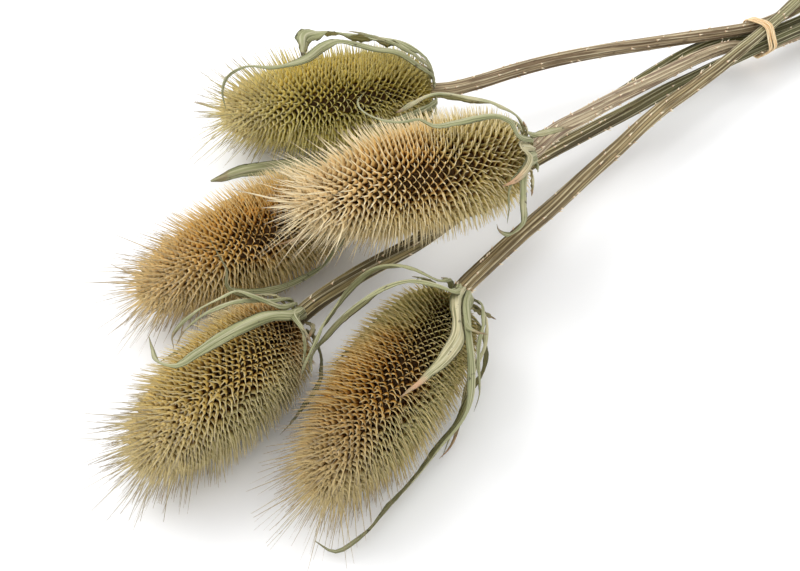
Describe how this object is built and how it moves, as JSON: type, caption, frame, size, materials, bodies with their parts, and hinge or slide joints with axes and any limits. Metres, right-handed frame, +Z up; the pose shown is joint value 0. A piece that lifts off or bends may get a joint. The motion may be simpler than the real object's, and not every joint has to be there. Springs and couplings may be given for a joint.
{
  "type": "dried teasel bunch",
  "caption": "Bunch of dried teasels lying flat: spiny egg-shaped heads with long curling bracts on ribbed, prickly stems that cross under a raffia tie.",
  "frame": {"origin": "middle of the footprint, on the surface that the bunch lies on", "axes": "+X along the bunch, towards the cut ends; +Z up; the heads are at -X"},
  "size_m": [0.4946, 0.2008, 0.0682],
  "materials": {
    "head_olive": "dry, fibrous, matte, olive",
    "head_straw": "dry, fibrous, matte, straw",
    "head_amber": "dry, fibrous, matte, golden brown",
    "stem_tan": "dry, ribbed, matte, tan",
    "stem_green": "dry, ribbed, matte, dark green",
    "bract": "dry, papery, matte, grey-green",
    "raffia": "dry fibre, faint sheen, pale straw"
  },
  "bodies": {
    "root": {"head_1": "head_olive", "head_2": "head_straw", "head_3": "head_amber", "head_4": "head_olive", "head_5": "head_amber", "bracts_1": "bract", "bracts_2": "bract", "bracts_3": "bract", "bracts_4": "bract", "bracts_5": "bract", "stem_1": "stem_tan", "stem_2": "stem_tan", "stem_3": "stem_green", "stem_4": "stem_green", "stem_5": "stem_tan", "tie": "raffia"}
  },
  "joints": []
}
